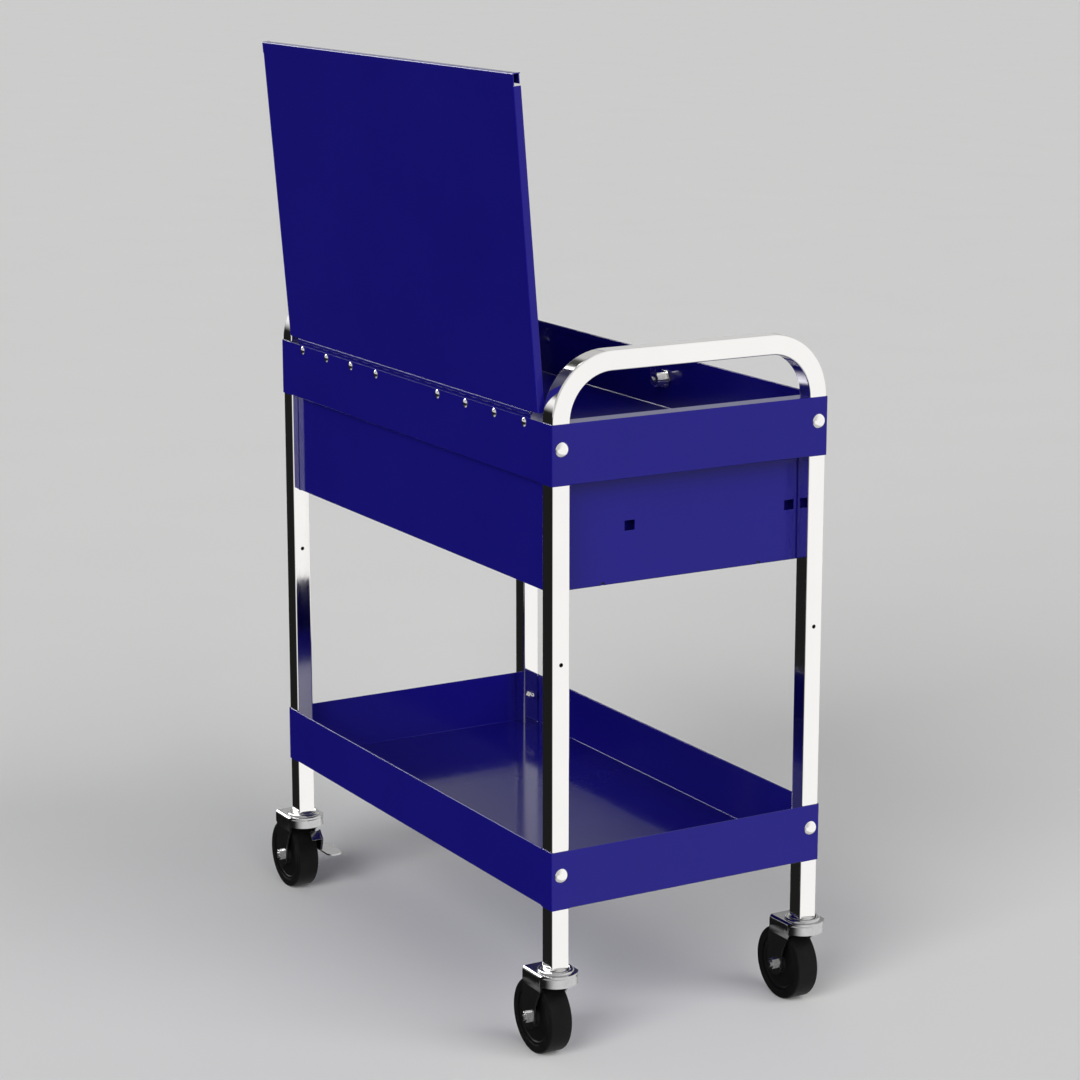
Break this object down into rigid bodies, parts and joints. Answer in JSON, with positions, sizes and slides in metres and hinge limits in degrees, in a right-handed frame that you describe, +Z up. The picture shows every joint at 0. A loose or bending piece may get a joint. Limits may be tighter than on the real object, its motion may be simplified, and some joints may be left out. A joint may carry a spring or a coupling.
{
  "type": "flip top service cart",
  "caption": "Rolling service cart with two trays on tube end frames, a hinged flip-up lid over the upper tray, a drawer under it and swivel casters.",
  "frame": {"origin": "on the floor, under the middle of the bounding box", "axes": "+X along the trays, away from the picture's near end; +Y towards the hinge side, the back; +Z up"},
  "size_m": [0.8452, 0.4755, 1.2434],
  "materials": {
    "blue_paint": "glossy powder coat",
    "chrome": "polished",
    "zinc": "bright zinc plate",
    "tyre": "smooth tread",
    "wheel_core": "moulded",
    "socket": "moulded"
  },
  "bodies": {
    "cart": {"end_frame_near": "chrome", "end_frame_far": "chrome", "upper_tray": "blue_paint", "lower_tray": "blue_paint", "tray_bolts": "chrome", "cap_nuts": "chrome", "drawer_housing": "blue_paint", "housing_screws": "zinc", "lock_rail": "blue_paint", "tray_hinge_leaf": "blue_paint", "hinge_pin": "zinc", "hinge_rivets": "chrome", "lid_lock_barrel": "chrome", "lid_lock_nut": "zinc", "slide_outer_near": "zinc", "slide_outer_far": "zinc", "stem_sockets": "socket", "swivel_balls": "chrome", "caster_1_stem": "zinc", "caster_2_stem": "zinc", "caster_3_stem": "zinc", "caster_4_stem": "zinc"},
    "lid": {"lid_panel": "blue_paint", "lid_hinge_leaf": "blue_paint", "lid_catch": "zinc"},
    "lid_lock": {"lid_lock_plug": "zinc", "lid_lock_cam": "zinc"},
    "drawer": {"drawer_box": "blue_paint", "drawer_front": "blue_paint", "drawer_pull": "chrome", "drawer_screws": "zinc", "slide_inner_near": "zinc", "slide_inner_far": "zinc", "drawer_lock_barrel": "chrome", "drawer_lock_nut": "zinc"},
    "drawer_lock": {"drawer_lock_plug": "zinc", "drawer_lock_cam": "zinc"},
    "slide_near": {"slide_middle_near": "zinc"},
    "slide_far": {"slide_middle_far": "zinc"},
    "fork_1": {"caster_1_fork": "zinc", "caster_1_axle": "zinc"},
    "wheel_1": {"caster_1_wheel": "wheel_core", "caster_1_tyre": "tyre"},
    "fork_2": {"caster_2_fork": "zinc", "caster_2_axle": "zinc"},
    "wheel_2": {"caster_2_wheel": "wheel_core", "caster_2_tyre": "tyre"},
    "fork_3": {"caster_3_fork": "zinc", "caster_3_axle": "zinc", "brake_3_rivet": "zinc"},
    "wheel_3": {"caster_3_wheel": "wheel_core", "caster_3_tyre": "tyre"},
    "brake_3": {"brake_3_lever": "zinc"},
    "fork_4": {"caster_4_fork": "zinc", "caster_4_axle": "zinc", "brake_4_rivet": "zinc"},
    "wheel_4": {"caster_4_wheel": "wheel_core", "caster_4_tyre": "tyre"},
    "brake_4": {"brake_4_lever": "zinc"}
  },
  "joints": [
    {"name": "lid_hinge", "type": "hinge", "parent": "cart", "child": "lid", "pos_m": [-0.0265, 0.19949, 0.8293], "axis": [1, 0, 0], "range_deg": [0, 94.75]},
    {"name": "lid_lock_turn", "type": "hinge", "parent": "cart", "child": "lid_lock", "pos_m": [-0.0265, -0.20491, 0.7875], "axis": [0, 1, 0], "range_deg": [0, 90]},
    {"name": "drawer_slide", "type": "slide", "parent": "cart", "child": "drawer", "axis": [0, -1, 0], "range_m": [0, 0.32]},
    {"name": "slide_near_run", "type": "slide", "parent": "cart", "child": "slide_near", "axis": [0, -1, 0], "range_m": [0, 0.16]},
    {"name": "slide_far_run", "type": "slide", "parent": "cart", "child": "slide_far", "axis": [0, -1, 0], "range_m": [0, 0.16]},
    {"name": "drawer_lock_turn", "type": "hinge", "parent": "drawer", "child": "drawer_lock", "pos_m": [-0.0265, -0.20491, 0.7162], "axis": [0, 1, 0], "range_deg": [0, 90]},
    {"name": "swivel_1", "type": "hinge", "parent": "cart", "child": "fork_1", "pos_m": [-0.3936, 0.18759, 0.1195], "axis": [0, 0, 1], "continuous": true},
    {"name": "wheel_1_spin", "type": "hinge", "parent": "fork_1", "child": "wheel_1", "pos_m": [-0.3611, 0.18759, 0.0495], "axis": [0, 1, 0], "continuous": true},
    {"name": "swivel_2", "type": "hinge", "parent": "cart", "child": "fork_2", "pos_m": [-0.3936, -0.19101, 0.1195], "axis": [0, 0, 1], "continuous": true},
    {"name": "wheel_2_spin", "type": "hinge", "parent": "fork_2", "child": "wheel_2", "pos_m": [-0.3611, -0.19101, 0.0495], "axis": [0, 1, 0], "continuous": true},
    {"name": "swivel_3", "type": "hinge", "parent": "cart", "child": "fork_3", "pos_m": [0.3406, 0.18759, 0.1195], "axis": [0, 0, 1], "continuous": true},
    {"name": "wheel_3_spin", "type": "hinge", "parent": "fork_3", "child": "wheel_3", "pos_m": [0.3731, 0.18759, 0.0495], "axis": [0, 1, 0], "continuous": true},
    {"name": "brake_3_tip", "type": "hinge", "parent": "fork_3", "child": "brake_3", "pos_m": [0.3626, 0.16449, 0.074], "axis": [0, -1, 0], "range_deg": [0, 11]},
    {"name": "swivel_4", "type": "hinge", "parent": "cart", "child": "fork_4", "pos_m": [0.3406, -0.19101, 0.1195], "axis": [0, 0, 1], "continuous": true},
    {"name": "wheel_4_spin", "type": "hinge", "parent": "fork_4", "child": "wheel_4", "pos_m": [0.3731, -0.19101, 0.0495], "axis": [0, 1, 0], "continuous": true},
    {"name": "brake_4_tip", "type": "hinge", "parent": "fork_4", "child": "brake_4", "pos_m": [0.3626, -0.21411, 0.074], "axis": [0, -1, 0], "range_deg": [0, 11]}
  ],
  "couplings": [
    {"joint": "slide_near_run", "follows": "drawer_slide", "ratio": 0.5},
    {"joint": "slide_far_run", "follows": "drawer_slide", "ratio": 0.5}
  ]
}
